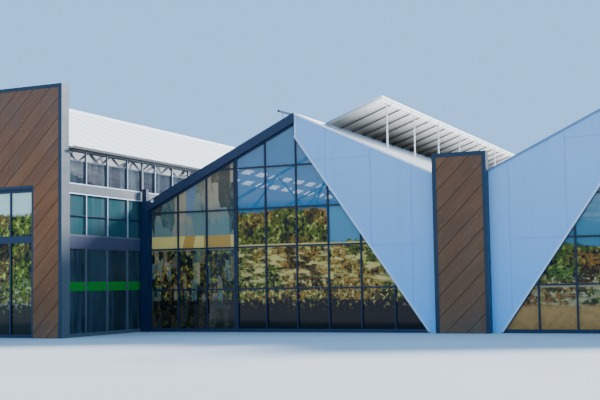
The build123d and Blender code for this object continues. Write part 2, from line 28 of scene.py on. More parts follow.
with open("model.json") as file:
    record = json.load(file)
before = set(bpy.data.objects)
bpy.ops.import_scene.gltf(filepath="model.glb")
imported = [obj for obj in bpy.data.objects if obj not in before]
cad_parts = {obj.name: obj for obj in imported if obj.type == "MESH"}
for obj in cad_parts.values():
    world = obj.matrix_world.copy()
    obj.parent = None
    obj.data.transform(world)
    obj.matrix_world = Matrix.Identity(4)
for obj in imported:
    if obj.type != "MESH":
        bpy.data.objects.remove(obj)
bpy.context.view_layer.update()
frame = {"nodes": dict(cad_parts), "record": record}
cadNodes = frame["nodes"]
print("frame loaded:", len(cadNodes), "nodes")


def box(node):
    # the low and the high corner of a CAD node
    low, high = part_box(node)
    return np.array(low), np.array(high)


# upright distance from one slanting board to the next, for the boards and for their grain

boardPitch = 0.69


# node trees: a Value stands for one output of a node, so that node maths reads like plain maths

def feed(tree, target, value):
    # a Value is linked to the socket, a plain number or colour is set on it
    if isinstance(value, Value):
        tree.links.new(value.socket, target)
    else:
        target.default_value = value


def put(tree, kind, inputs=(), **settings):
    # a new node with its own settings, its inputs given by name or number
    node = tree.nodes.new(kind)
    for key, value in settings.items():
        setattr(node, key, value)
    for key, value in dict(inputs).items():
        feed(tree, node.inputs[key], value)
    return node


class Value:
    def __init__(self, tree, socket):
        self.tree, self.socket = tree, socket

    def maths(self, operation, *numbers):
        node = put(self.tree, "ShaderNodeMath", enumerate(numbers), operation=operation)
        return Value(self.tree, node.outputs[0])

    def __add__(self, other):
        return self.maths("ADD", self, other)

    def __sub__(self, other):
        return self.maths("SUBTRACT", self, other)

    def __rsub__(self, other):
        return self.maths("SUBTRACT", other, self)

    def __mul__(self, other):
        return self.maths("MULTIPLY", self, other)

    def __truediv__(self, other):
        return self.maths("DIVIDE", self, other)

    def __pow__(self, other):
        return self.maths("POWER", self, other)

    def __abs__(self):
        return self.maths("ABSOLUTE", self)

    def floor(self):
        return self.maths("FLOOR", self)

    def orMore(self, other):
        # the larger of the two
        return self.maths("MAXIMUM", self, other)

    def clamped(self):
        # the last sum or product, held between 0 and 1
        self.socket.node.use_clamp = True
        return self

    def ramp(self, low, high, newLow=0.0, newHigh=1.0):
        # low becomes newLow, high becomes newHigh, in a straight line between them and held outside
        inputs = {0: self, 1: low, 2: high, 3: newLow, 4: newHigh}
        return Value(self.tree, put(self.tree, "ShaderNodeMapRange", inputs).outputs[0])

    def split(self):
        # the three numbers of a point, a direction or a colour
        outputs = put(self.tree, "ShaderNodeSeparateXYZ", {0: self}).outputs
        return [Value(self.tree, output) for output in outputs]


def join(x, y, z):
    return Value(x.tree, put(x.tree, "ShaderNodeCombineXYZ", {0: x, 1: y, 2: z}).outputs[0])


def mix(factor, a, b):
    # colour a where the factor is 0, colour b where it is 1
    node = put(factor.tree, "ShaderNodeMix", {0: factor, 6: a, 7: b}, data_type="RGBA")
    return Value(factor.tree, node.outputs[2])


def noise(point, scale, detail, rough):
    inputs = {"Vector": point, "Scale": scale, "Detail": detail, "Roughness": rough}
    return Value(point.tree, put(point.tree, "ShaderNodeTexNoise", inputs).outputs["Fac"])


def blocks(point):
    # straight-sided cells one unit across, each with three random numbers of its own
    inputs = {"Vector": point, "Scale": 1.0}
    node = put(point.tree, "ShaderNodeTexVoronoi", inputs, distance="CHEBYCHEV")
    return Value(point.tree, node.outputs["Color"]).split()


def randomTone(number):
    # one random number for each whole number
    node = put(number.tree, "ShaderNodeTexWhiteNoise", {"W": number}, noise_dimensions="1D")
    return Value(number.tree, node.outputs["Value"])


def stretch(point, x, y, z):
    # each coordinate times its own number
    node = put(point.tree, "ShaderNodeMapping", {"Vector": point, "Scale": (x, y, z)})
    return Value(point.tree, node.outputs["Vector"])


def bump(height, strength, distance):
    inputs = {"Height": height, "Strength": strength, "Distance": distance}
    return Value(height.tree, put(height.tree, "ShaderNodeBump", inputs).outputs["Normal"])


def objectPoint(tree):
    return Value(tree, tree.nodes.new("ShaderNodeTexCoord").outputs["Object"])


def facing(tree):
    # the way that the surface faces: to the right, to the rear and up
    return Value(tree, tree.nodes.new("ShaderNodeNewGeometry").outputs["Normal"]).split()


def wire(tree, sockets, **values):
    # a keyword is the name of a socket, with _ for each space
    for label, value in values.items():
        feed(tree, sockets[label.replace("_", " ")], value)


def openGroup(name, **inputs):
    # a shader node group; a colour is given as four numbers, any other input as one
    tree = bpy.data.node_groups.new(name, "ShaderNodeTree")
    for label, value in inputs.items():
        kind = "NodeSocketColor" if isinstance(value, tuple) else "NodeSocketFloat"
        tree.interface.new_socket(label, in_out="INPUT", socket_type=kind).default_value = value
    outputs = tree.nodes.new("NodeGroupInput").outputs
    return tree, {label: Value(tree, outputs[label]) for label in inputs}


def closeGroup(tree, **results):
    # the group's outputs: the one named Colour is a colour, the others are plain numbers
    for label in results:
        kind = "NodeSocketColor" if label == "Colour" else "NodeSocketFloat"
        tree.interface.new_socket(label, in_out="OUTPUT", socket_type=kind)
    wire(tree, tree.nodes.new("NodeGroupOutput").inputs, **results)
    return tree


def useGroup(tree, group, **values):
    node = put(tree, "ShaderNodeGroup", node_tree=group)
    wire(tree, node.inputs, **values)
    return {output.name: Value(tree, output) for output in node.outputs}


def rgb(red, green, blue):
    # a colour as seen on a screen, 0 to 255, turned into the linear numbers that shaders take
    values = np.array([red, green, blue]) / 255
    linear = np.where(values <= 0.04045, values / 12.92, ((values + 0.055) / 1.055) ** 2.4)
    return (*[float(v) for v in linear], 1.0)


# shared effects

def makeRainDirt():
    # mask = amount * (soft patches * streaks stretched down the wall + a splash band above the ground)
    tree, given = openGroup(
        "rainDirt", Colour=(0.8, 0.8, 0.8, 1), Dirt=(0.2, 0.18, 0.15, 1), Amount=0.3, Streaks=6.0, Splash=0.5,
    )
    point = objectPoint(tree)
    patches = noise(point, 0.7, 4.0, 0.6).ramp(0.42, 0.7)
    streaks = noise(stretch(point, 1.0, 1.0, 0.06), given["Streaks"], 4.0, 0.55).ramp(0.45, 0.75)
    splash = point.split()[2].ramp(0.9, 0.0) * given["Splash"]
    mask = ((patches * streaks + splash) * given["Amount"]).clamped()
    return closeGroup(tree, Colour=mix(mask, given["Colour"], given["Dirt"]), Mask=mask)


def makeBoardGrain():
    # the boards rise to the right at 45 degrees: the fibre is noise stretched along x + z,
    # and the tone is one random number for each board, counted as floor((z - x) / pitch)
    tree, given = openGroup("boardGrain", Light=(0.3, 0.2, 0.12, 1), Dark=(0.1, 0.06, 0.04, 1))
    x, y, z = objectPoint(tree).split()
    across = z - x
    tone = randomTone((across / boardPitch).floor())
    along = x + z + tone * 40.0
    fibre = noise(join(along * 1.2, y, across * 26.0), 1.0, 5.0, 0.6)
    broad = noise(join(along * 0.5, y, across * 3.0), 1.0, 3.0, 0.5)
    amount = fibre * 0.55 + broad * 0.55 + tone * 0.16
    colour = mix(amount.ramp(0.3, 0.95), given["Dark"], given["Light"])
    return closeGroup(tree, Colour=colour, Height=fibre)


def makeSheetWave():
    # a coated sheet is never quite flat: height = slow waves + 0.04 * a fine orange peel
    tree, given = openGroup("sheetWave", Wave=0.5)
    point = objectPoint(tree)
    height = noise(point, given["Wave"], 2.0, 0.4) + noise(point, 60.0, 2.0, 0.5) * 0.04
    gloss = noise(point, 2.3, 4.0, 0.6).ramp(0.3, 0.7, -0.06, 0.06)
    return closeGroup(tree, Height=height, Gloss=gloss)


def makePaneReflectionAndHall():
    # painted reflections on a glazed wall, worked out over u = x + y along the wall and the height z:
    # above the edge a painted reflection of the sky, below it a painted reflection of leaves, with a pale
    # line, specks and a dark foot;
    # right of the step the edge lies at its second height, with a painted haze over it;
    # left of the split the panes show the hall
    tree, given = openGroup(
        "paneReflectionAndHall",
        Upper=(0.1, 0.25, 0.4, 1), Haze=(0.2, 0.3, 0.4, 1), Leaf=(0.05, 0.07, 0.02, 1),
        Bright=(0.3, 0.28, 0.1, 1), Bark=(0.12, 0.06, 0.02, 1), Pale=(0.5, 0.42, 0.25, 1),
        Foot=(0.01, 0.012, 0.015, 1), Clear=(0.1, 0.15, 0.17, 1), Warm=(0.14, 0.1, 0.07, 1),
        Edge=4.2, Step=90.0, SecondEdge=3.2, Band=3.0, Split=-90.0, Low=1.5,
    )
    dark = (0.003, 0.004, 0.004, 1)
    x, y, z = objectPoint(tree).split()
    u = x + y
    wall = join(u, 0.0, z)
    clumps = noise(wall, 0.5, 2.0, 0.5)
    leaves = noise(wall, 6.5, 5.0, 0.75)
    sprays = noise(join(u, 9.0, z), 5.0, 5.0, 0.75)
    second = (x - given["Step"]).ramp(-0.05, 0.05)
    edge = second.ramp(0.0, 1.0, given["Edge"], given["SecondEdge"])
    line = edge + (clumps - 0.5) * 0.9 + (leaves - 0.5) * 0.6
    cool = (z - line).ramp(-0.04, 0.04)
    # painted reflection of trees: leaves, brown in places, with bright sprays and dark pockets
    brown = noise(join(u, 4.0, z), 0.7, 2.0, 0.5).ramp(0.46, 0.56)
    pockets = noise(join(u, 15.0, z), 1.7, 4.0, 0.6).ramp(0.47, 0.4, 0.0, 0.75)
    foliage = mix(leaves.ramp(0.42, 0.54), dark, mix(brown, given["Leaf"], given["Bark"]))
    foliage = mix(sprays.ramp(0.54, 0.64), foliage, given["Bright"])
    foliage = mix(pockets, foliage, dark)
    # a pale line, broken pale patches under it, specks near the foot
    above = z - given["Band"]
    thin = abs(above).ramp(0.07, 0.04)
    patches = noise(stretch(wall, 0.6, 1.0, 1.7), 2.4, 5.0, 0.7).ramp(0.5, 0.58)
    under = above.ramp(0.0, -0.05) * above.ramp(-1.35, -1.25)
    specks = noise(wall, 6.0, 3.0, 0.7).ramp(0.56, 0.6) * z.ramp(2.1, 1.7) * z.ramp(0.7, 1.2)
    middle = mix(thin.orMore(patches * under).orMore(specks), foliage, given["Pale"])
    # the dark foot and the painted reflection of the sky
    low = (z + leaves * 0.6).ramp(given["Low"], given["Low"] - 0.1)
    foot = mix(sprays.ramp(0.45, 0.7, 0.0, 0.35), given["Foot"], dark)
    middle = mix(low * (1.0 - specks), middle, foot)
    hazy = second * z.ramp(4.5, 4.3)
    tone = mix(cool, middle, mix(hazy, given["Upper"], given["Haze"]))
    # the hall beside the split: upright blocks of random tone, warmer high up, a few patches of the painted
    # sky reflection, and a pale shelf line
    soft = (noise(stretch(wall, 3.2, 1.0, 1.3), 1.6, 4.0, 0.65) - 0.5) * 0.7
    pick, other, third = blocks(stretch(wall, 1.9, 1.0, 0.5))
    warmth = pick + soft + z.ramp(3.9, 4.9, -0.25, 0.3)
    hall = mix(warmth.ramp(0.2, 0.85, 0.1, 0.85), given["Clear"], given["Warm"])
    hall = mix((other + soft).ramp(0.42, 0.14, 0.0, 0.75), hall, dark)
    hall = mix(other.ramp(0.9, 0.93, 0.0, 0.6), hall, given["Upper"])
    goods = mix(third.ramp(0.6, 0.64, 0.0, 0.75), given["Pale"], given["Bark"])
    hall = mix(above.ramp(0.46, 0.42) * above.ramp(-0.08, -0.04), hall, goods)
    # small dim blocks with plants, below the shelf line
    pick, other, _ = blocks(stretch(wall, 4.6, 1.0, 1.5))
    dim = mix(pick.ramp(0.3, 0.7), given["Clear"], given["Warm"])
    dim = mix((other + soft).ramp(0.7, 0.4, 0.2, 0.94), dim, dark)
    dim = mix((sprays + soft).ramp(0.46, 0.56, 0.0, 0.7), dim, foliage)
    dim = mix(low * 0.8, dim, foot)
    hall = mix(above.ramp(-0.08, -0.12), hall, dim)
    beside = (x - given["Split"]).ramp(0.03, -0.03)
    return closeGroup(tree, Colour=mix(beside, tone, hall), Cool=cool * (1.0 - beside))


rainDirt = makeRainDirt()
boardGrain = makeBoardGrain()
sheetWave = makeSheetWave()
paneReflectionAndHall = makePaneReflectionAndHall()
print("shared node groups made")


# finishes, each kept under the name of its material

finishes = {}
black = (0, 0, 0, 1)


def newMaterial(name, **settings):
    material = bpy.data.materials.new(name)
    material.use_nodes = True
    finishes[name] = material
    tree = material.node_tree
    shader = tree.nodes["Principled BSDF"].inputs
    wire(tree, shader, **settings)
    return tree, shader


def coatedMetal(
    name, colour, dirt, amount=0.3, roughness=0.4, wave=0.8, depth=0.002, splash=0.0, metallic=0.0,
):
    # coated sheet metal: a colour with rain dirt, gloss that varies a little, gentle waves;
    # the colour may be a function that works it out in the material's tree
    tree, shader = newMaterial(name, Metallic=metallic)
    base = colour(tree) if callable(colour) else colour
    dirty = useGroup(tree, rainDirt, Colour=base, Dirt=dirt, Amount=amount, Splash=splash)
    waves = useGroup(tree, sheetWave, Wave=wave)
    rough = (waves["Gloss"] + roughness + dirty["Mask"] * 0.4).clamped()
    wire(tree, shader, Base_Color=dirty["Colour"], Roughness=rough, Normal=bump(waves["Height"], 0.4, depth))
    return tree, shader


def shadeTintedPanel(name, colour, lowShadeColour, dirt):
    # white panel with painted shade: a pale blue tint of sky-lit shade, bluer at the foot of the wall and
    # changing slowly upwards
    def tint(tree):
        return mix(objectPoint(tree).split()[2].ramp(0.3, 4.2), lowShadeColour, colour)

    coatedMetal(name, tint, dirt, amount=0.2, roughness=0.42, wave=0.35, depth=0.012)


def stainedTimber(name, light, dark, roughness=0.6, shadeGrey=0.0):
    # stained boards; high up painted shade greys them, by the given share, towards the cool tone of the shade
    # there
    tree, shader = newMaterial(name)
    grain = useGroup(tree, boardGrain, Light=light, Dark=dark)
    share = objectPoint(tree).split()[2].ramp(4.5, 8.0, 0.0, shadeGrey)
    colour = mix(share, grain["Colour"], rgb(92, 73, 65))
    worn = useGroup(tree, rainDirt, Colour=colour, Dirt=rgb(96, 92, 88), Amount=0.5, Streaks=3.0, Splash=0.5)
    rough = grain["Height"] * 0.2 + roughness
    wire(tree, shader, Base_Color=worn["Colour"], Roughness=rough, Normal=bump(grain["Height"], 0.5, 0.003))


def paneGlass(name, clearest, clearFrom=0.0, **tones):
    # reflective panes with painted reflections: nearly closed, but the part with the painted sky reflection
    # lets some of the hall show through above a height
    closed = 0.94
    tree, shader = newMaterial(name, Metallic=0.0, Roughness=0.04, IOR=1.52, Specular_IOR_Level=0.2)
    tone = useGroup(tree, paneReflectionAndHall, **tones)
    point = objectPoint(tree)
    clear = point.split()[2].ramp(clearFrom - 0.2, clearFrom + 0.2, closed, clearest)
    alpha = tone["Cool"].ramp(0.0, 1.0, closed, clear)
    wobble = bump(noise(point, 0.8, 2.0, 0.5), 0.15, 0.01)
    wire(tree, shader, Base_Color=tone["Colour"], Alpha=alpha, Normal=wobble)


def plainGlass(name, tints, alphas, levels, dusty):
    # side and rear panes: a tint and an opacity for each zone of height, with dusty patches and streaks
    tree, shader = newMaterial(name, Metallic=0.0, Roughness=0.06, IOR=1.52, Specular_IOR_Level=0.2)
    point = objectPoint(tree)
    z = point.split()[2]
    patch = noise(stretch(point, 1.0, 1.0, 0.5), 0.9, 4.0, 0.6).ramp(0.38, 0.66, 0.0, 0.45)
    streak = noise(stretch(point, 1.0, 1.0, 0.12), 2.6, 4.0, 0.6).ramp(0.42, 0.66, 0.0, 0.675)
    tint, alpha = tints[0], alphas[0]
    for level, nextTint, nextAlpha in zip(levels, tints[1:], alphas[1:]):
        zone = z.ramp(level - 0.04, level + 0.04)
        tint = mix(zone, tint, nextTint)
        alpha = zone.ramp(0.0, 1.0, alpha, nextAlpha)
    wobble = bump(noise(point, 0.5, 1.0, 0.4), 0.05, 0.01)
    wire(tree, shader, Base_Color=mix(patch.orMore(streak), tint, dusty), Alpha=alpha, Normal=wobble)


def litRoof(name, colour, dirt, glow):
    # roof sheet: the side that faces the halls glows, a painted light in place of the daylight that comes in
    # over it
    tree, shader = coatedMetal(name, colour, dirt, roughness=0.5, wave=0.3, depth=0.006)
    under = facing(tree)[2].ramp(-0.5, -0.6)
    wire(tree, shader, Emission_Color=mix(under, black, glow), Emission_Strength=1.0)


def shadedFlap(name, colour, shadeColour, dirt, glow, foot, edge, nearEnd):
    # flap sheet: painted shade greys its lower face and its ribs towards the hinge,
    # and more so away from the near end; towards the free edge a painted glow lights the sheet
    tree, shader = coatedMetal(name, colour, dirt, roughness=0.5, wave=0.5, depth=0.005)
    clean = Value(tree, shader["Base Color"].links[0].from_socket)
    _, side, up = facing(tree)
    _, y, z = objectPoint(tree).split()
    under = up.ramp(-0.5, -0.6).orMore(side.ramp(-0.6, -0.7))
    low = z.ramp(edge, foot)
    paintedShade = low ** 0.55 * y.ramp(nearEnd, nearEnd + 5.0, 0.7, 1.0) * under
    through = (1.0 - low) ** 2.5 * under
    wire(tree, shader, Base_Color=mix(paintedShade, clean, shadeColour))
    wire(tree, shader, Emission_Color=mix(through, black, glow), Emission_Strength=1.0)


def rooflightSheet(name, colour, shade, strength):
    # translucent ribbed sheet with a painted glow in place of the daylight behind it
    tree, shader = newMaterial(name, Roughness=0.4)
    inputs = {"Vector": objectPoint(tree), "Scale": 2.0, "Distortion": 0.4}
    ribs = Value(tree, put(tree, "ShaderNodeTexWave", inputs, bands_direction="Y").outputs["Fac"])
    tone = mix(ribs.ramp(0.0, 1.0, 0.0, 0.25), colour, shade)
    wire(tree, shader, Base_Color=tone, Emission_Color=tone, Emission_Strength=strength)


def plainStone(name, light, dark, scale, roughness, depth):
    # floated concrete: cloudy tone, fine pores
    tree, shader = newMaterial(name)
    point = objectPoint(tree)
    cloud = noise(point, scale, 5.0, 0.6).ramp(0.3, 0.7)
    pores = noise(point, scale * 30, 3.0, 0.6)
    rough = pores.ramp(0.3, 0.7, roughness - 0.08, roughness + 0.08)
    wire(tree, shader, Base_Color=mix(cloud, dark, light), Roughness=rough, Normal=bump(pores, 0.3, depth))


grime = rgb(70, 66, 60)
haze = rgb(60, 70, 84)
coatedMetal("darkFrame", rgb(12, 38, 68), haze, amount=0.2, roughness=0.36, splash=0.2)
coatedMetal("caseTrim", rgb(8, 40, 62), rgb(50, 70, 84), amount=0.2, splash=0.2)
coatedMetal("vergeSheet", rgb(20, 38, 66), haze, amount=0.2, wave=0.4, depth=0.006)
# painted shade: the pale frames are given a mid grey, darker than their pale coat, as the posts look in
# shadow
coatedMetal("shadedPaleFrame", rgb(92, 100, 106), rgb(60, 60, 58), roughness=0.38, splash=0.3)
# painted shade: the white panels get the pale blue of sky-lit shade, bluer low down, and their dirt a darker
# shade blue
shadeTintedPanel("whitePanel", rgb(150, 194, 234), rgb(126, 202, 255), rgb(112, 146, 186))
coatedMetal("panelTrim", rgb(206, 222, 240), rgb(150, 166, 190), amount=0.2, wave=0.6, depth=0.003)
coatedMetal("glazingCap", rgb(8, 22, 38), rgb(50, 60, 72), amount=0.2, depth=0.001, splash=0.1)
coatedMetal("vergeCap", rgb(252, 252, 250), grime, amount=0.2, wave=0.6, depth=0.004)
# painted shade: the right verge cap is a dimmed copy of the white verge cap, as it looks in shade
coatedMetal("shadedVergeCap", rgb(104, 140, 176), rgb(76, 94, 120), amount=0.2, wave=0.6, depth=0.004)
coatedMetal("gableSheet", rgb(214, 218, 222), grime, roughness=0.5, wave=0.6, depth=0.004)
stainedTimber("timberCore", rgb(66, 50, 40), rgb(30, 22, 18), roughness=0.7)
# painted shade: the screen boards grey towards their top
stainedTimber("stainedBoards", rgb(158, 96, 48), rgb(100, 56, 26), shadeGrey=0.45)
stainedTimber("pillarBoards", rgb(146, 94, 56), rgb(94, 56, 30))
coatedMetal(
    "screwHead", rgb(190, 184, 172), grime, amount=0.4, wave=4.0, depth=0.001, splash=0.1, metallic=0.7,
)
# painted reflections: most colours below are the sky, trees and ground seen in the panes; Clear and Warm are
# the hall behind them
paneGlass(
    "leftGlass", clearest=0.72, clearFrom=4.5, Upper=rgb(30, 122, 158), Haze=rgb(104, 152, 168),
    Leaf=rgb(124, 114, 30), Bright=rgb(250, 222, 100), Bark=rgb(200, 128, 44), Pale=rgb(255, 206, 112),
    Foot=rgb(20, 18, 22), Clear=rgb(112, 136, 124), Warm=rgb(206, 164, 120),
    Edge=4.3, Step=1.25, SecondEdge=3.2, Band=3.05, Split=-2.31,
)
paneGlass(
    "rightGlass", clearest=0.72, Upper=rgb(86, 142, 156), Leaf=rgb(92, 108, 26), Bright=rgb(196, 182, 76),
    Bark=rgb(158, 92, 28), Pale=rgb(200, 168, 116), Foot=rgb(206, 140, 74), Clear=rgb(52, 82, 96),
    Warm=rgb(116, 98, 78), Edge=2.85, Band=1.5, Low=1.2,
)
paneGlass(
    "shopGlass", clearest=0.88, Upper=rgb(232, 248, 222), Leaf=rgb(122, 132, 36), Bright=rgb(244, 228, 100),
    Bark=rgb(150, 112, 50), Pale=rgb(180, 176, 130), Foot=rgb(40, 44, 36), Clear=rgb(60, 80, 88),
    Warm=rgb(84, 72, 58), Edge=4.25, Band=1.1,
)
plainGlass(
    "sideGlass", tints=(rgb(30, 44, 50), rgb(36, 78, 84), rgb(16, 22, 42), rgb(180, 186, 190)),
    alphas=(0.94, 0.92, 0.92, 0.1), levels=(2.98, 4.9, 6.02), dusty=rgb(78, 96, 104),
)
plainGlass(
    "rearGlass", tints=(rgb(20, 40, 52), rgb(30, 66, 84), rgb(44, 80, 104)),
    alphas=(0.85, 0.8, 0.7), levels=(3.0, 5.9), dusty=rgb(62, 88, 108),
)
litRoof("roofSheet", rgb(248, 249, 250), rgb(170, 170, 166), glow=(0.75, 0.78, 0.8, 1))
rooflightSheet("rooflight", (0.86, 0.92, 0.96, 1), (0.6, 0.66, 0.7, 1), strength=6.0)
coatedMetal("rooflightTop", rgb(206, 216, 220), rgb(150, 150, 146), amount=0.4, roughness=0.25, wave=0.5)
# painted shade and light: the dark colour is the shade under the flaps, the glow their bright free edge
shadedFlap(
    "flapSheet", rgb(248, 249, 246), rgb(52, 50, 40), rgb(120, 118, 112), glow=(0.9, 0.9, 0.86, 1),
    foot=7.72, edge=8.5, nearEnd=box("large_ridge_flaps")[0][1],
)
# painted shade: the dark strips under the large flap ribs stand for the shade lines of the ribs
coatedMetal("ribShadeStrip", rgb(58, 60, 62), grime, roughness=0.6, wave=2.0, depth=0.001)
coatedMetal("entranceFascia", rgb(64, 68, 92), rgb(80, 84, 100), amount=0.4, roughness=0.45, depth=0.003)
coatedMetal("greenFilm", rgb(10, 140, 40), rgb(20, 60, 30), roughness=0.35, wave=1.2, depth=0.001)
coatedMetal("ridgeBox", rgb(196, 206, 216), grime, roughness=0.45, wave=0.6, depth=0.003)
coatedMetal("edgeStrip", rgb(132, 140, 146), grime, roughness=0.5, depth=0.001, splash=0.1)
# painted shade: the seams are a greyer copy of the roof sheet's white, so that they show
coatedMetal("shadedRoofSeam", rgb(194, 199, 204), grime, roughness=0.45, wave=0.6)
coatedMetal("darkGutter", rgb(34, 38, 46), grime, roughness=0.45)
coatedMetal(
    "galvanisedSteel", rgb(170, 174, 178), rgb(110, 108, 102),
    amount=0.4, roughness=0.42, wave=3.0, depth=0.001, splash=0.1, metallic=0.6,
)
coatedMetal(
    "girderSteel", rgb(52, 56, 64), rgb(80, 80, 78),
    amount=0.4, roughness=0.5, wave=3.0, depth=0.001, splash=0.1, metallic=0.2,
)
coatedMetal("flapRod", rgb(206, 210, 212), grime, amount=0.2, wave=2.0, depth=0.001)
plainStone("floatedConcrete", rgb(158, 154, 146), rgb(112, 108, 102), scale=0.6, roughness=0.7, depth=0.002)

finishOfSlot = {
    "dark_frame": "darkFrame", "pale_frame": "shadedPaleFrame", "white_panel": "whitePanel", "timber": "timberCore",
    "glazing": "sideGlass", "roof_sheet": "roofSheet", "flap_sheet": "flapSheet", "dark_gutter": "darkGutter",
    "galvanised_steel": "galvanisedSteel", "concrete": "floatedConcrete",
}
finishOfNode = {
    "left_verge_beam": "vergeSheet", "right_verge_beam": "vergeSheet",
    "left_verge_cap": "vergeCap", "right_verge_cap": "shadedVergeCap", "wing_front_gable": "gableSheet",
    "left_gable_glass": "leftGlass", "right_gable_glass": "rightGlass", "shopfront_glass": "shopGlass",
    "low_rear_glass": "rearGlass", "wing_rear_glass": "rearGlass",
    "pillar_case": "caseTrim", "screen_border": "caseTrim",
    "ridge_boxes": "ridgeBox", "flap_rods": "flapRod", "lattice_girders": "girderSteel",
}
for part in frame["record"]["subparts"]:
    finish = finishOfNode.get(part["node"], finishOfSlot[part["material_slot"]])
    for slot in cadNodes[part["node"]].material_slots:
        slot.material = finishes[finish]
print("finishes on all CAD nodes")


# mesh helpers

def meshObject(name, shape, finish):
    # points and rows of corner numbers become one mesh object at the origin
    verts, faces = shape
    mesh = bpy.data.meshes.new(name)
    mesh.from_pydata(np.asarray(verts, float).tolist(), [], [tuple(int(i) for i in face) for face in faces])
    mesh.materials.append(finishes[finish])
    piece = bpy.data.objects.new(name, mesh)
    bpy.context.scene.collection.objects.link(piece)
    return piece


def newPiece(name, shape, finish):
    # a piece of the building, fixed to its one body
    piece = meshObject(name, shape, finish)
    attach(piece, "root")


def rowOf(x, y, z):
    # a row of points; of the three at least one is an array, and a plain number holds for the whole row
    return np.stack(np.broadcast_arrays(x, y, z), 1)


def sweepFaces(rings, around, count=1):
    # quads between each ring of points and the next, and a cap at both ends, for count like sweeps
    i = np.arange(rings - 1)[:, None] * around
    j = np.arange(around)[None, :]
    k = (j + 1) % around
    quads = np.stack([i + j, i + k, i + around + k, i + around + j], -1).reshape(-1, 4)
    closing = np.stack([np.arange(around)[::-1], (rings - 1) * around + np.arange(around)])
    step = (np.arange(count) * rings * around)[:, None, None]
    return [*(quads[None] + step).reshape(-1, 4), *(closing[None] + step).reshape(-1, around)]


def carriedBars(starts, ends, across, width, height, chamfer=0.0):
    # a rectangle with cut corners carried from each start to its end:
    # point = path + across * u + up * v, where up stands square to the path and to across
    starts, ends = np.atleast_2d(starts).astype(float), np.atleast_2d(ends).astype(float)
    along = ends - starts
    along /= np.linalg.norm(along, axis=1, keepdims=True)
    across = np.broadcast_to(np.asarray(across, float), along.shape)
    up = np.cross(along, across)
    a, b, c = width / 2, height / 2, chamfer
    if c:
        u = np.array([a - c, a, a, a - c, c - a, -a, -a, c - a])
        v = np.array([-b, c - b, b - c, b, b, b - c, c - b, -b])
    else:
        u, v = np.array([a, a, -a, -a]), np.array([-b, b, b, -b])
    ring = across[:, None] * u[None, :, None] + up[:, None] * v[None, :, None]
    verts = np.stack([starts[:, None] + ring, ends[:, None] + ring], 1).reshape(-1, 3)
    return verts, sweepFaces(2, len(u), len(starts))


def wallSheet(xs, low, high, front, back, chamfer):
    # a flat sheet that faces the front: at each x the section runs
    # (back, low) (front + c, low) (front, low + c) (front, high - c) (front + c, high) (back, high)
    c = np.minimum(chamfer, np.maximum(high - low, 0) / 3)
    ys = np.stack(np.broadcast_arrays(back, front + c, front, front, front + c, back), 1)
    zs = np.stack([low, low, low + c, high - c, high, high], 1)
    verts = np.stack([np.repeat(xs[:, None], 6, 1), ys, zs], -1).reshape(-1, 3)
    return verts, sweepFaces(len(xs), 6)


def joined(parts):
    # several meshes of points and faces as one
    verts, faces, base = [], [], 0
    for points, corners in parts:
        verts.append(points)
        faces += [np.asarray(face) + base for face in corners]
        base += len(points)
    return np.concatenate(verts), faces


# timber boards on the screen and the pillar

boards = {
    "gap": 0.02, "proud": 0.018, "chamfer": 0.005, "tip": 0.004, "least": 0.01,
    "screenTrim": 0.12, "pillarTrim": 0.135,
}


def boardNumbers(area):
    # board k lies between the lines z = x + k * pitch and z = x + (k + 1) * pitch
    left, right, bottom, top = area
    return np.arange(np.floor((bottom - right) / boardPitch), np.ceil((top - left) / boardPitch) + 1)


def boardSheets(area, front):
    # each board is half a gap narrower at both edges and is cut by the area:
    # low(x) = max(bottom, x + low) and high(x) = min(top, x + high)
    left, right, bottom, top = area
    sheets = []
    for k in boardNumbers(area):
        low, high = k * boardPitch + boards["gap"] / 2, (k + 1) * boardPitch - boards["gap"] / 2
        start, end = max(left, bottom - high + boards["tip"]), min(right, top - low - boards["tip"])
        if end - start < boards["least"]:
            continue
        xs = np.unique(np.clip([start, bottom - low, top - high, end], start, end))
        lows, highs = np.maximum(bottom, xs + low), np.minimum(top, xs + high)
        sheets.append(wallSheet(xs, lows, highs, front - boards["proud"], front, boards["chamfer"]))
    return sheets


def frontArea(node, trim):
    # the left, right, bottom and top of what lies inside a border
    low, high = box(node)
    return low[0] + trim, high[0] - trim, 0.0, high[2] - trim


pillarFront = box("valley_pillar")[0][1]
pillarArea = frontArea("pillar_case", boards["pillarTrim"])
newPiece("pillar_boards", joined(boardSheets(pillarArea, pillarFront)), "pillarBoards")

screenFront = box("screen_head")[0][1]
shopLow, shopHigh = box("shopfront_frame")
left, right, bottom, top = frontArea("screen_border", boards["screenTrim"])
screenAreas = [
    (left, shopLow[0], bottom, top),
    (shopHigh[0], right, bottom, top),
    (shopLow[0], shopHigh[0], shopHigh[2], top),
]
screenSheets = [sheet for area in screenAreas for sheet in boardSheets(area, screenFront)]
newPiece("screen_boards", joined(screenSheets), "stainedBoards")

shopTrim = {"jamb": 0.07, "head": 0.1, "depth": 0.023, "chamfer": 0.003}


def makeShopTrim():
    # flat bars on the boards round the opening: up each side, and over the top between the sides
    jamb, head, depth, chamfer = (shopTrim[key] for key in ("jamb", "head", "depth", "chamfer"))
    (left, _, _), (right, _, top) = shopLow, shopHigh
    y, z = screenFront - depth / 2, top + head / 2
    xs = np.array([left - jamb / 2, right + jamb / 2])
    sides = carriedBars(rowOf(xs, y, 0), rowOf(xs, y, top + head), (1, 0, 0), jamb, depth, chamfer)
    over = carriedBars((left, y, z), (right, y, z), (0, 1, 0), depth, head, chamfer)
    newPiece("shopfront_trim", joined([sides, over]), "darkFrame")


makeShopTrim()
print("boards made")


# screw heads in the boards, in upright rows over the studs behind

screws = {
    "stud": 0.6, "inset": 0.12, "places": (0.2, 0.8), "edge": 0.03,
    "radius": 0.009, "proud": 0.002, "sides": 6,
}


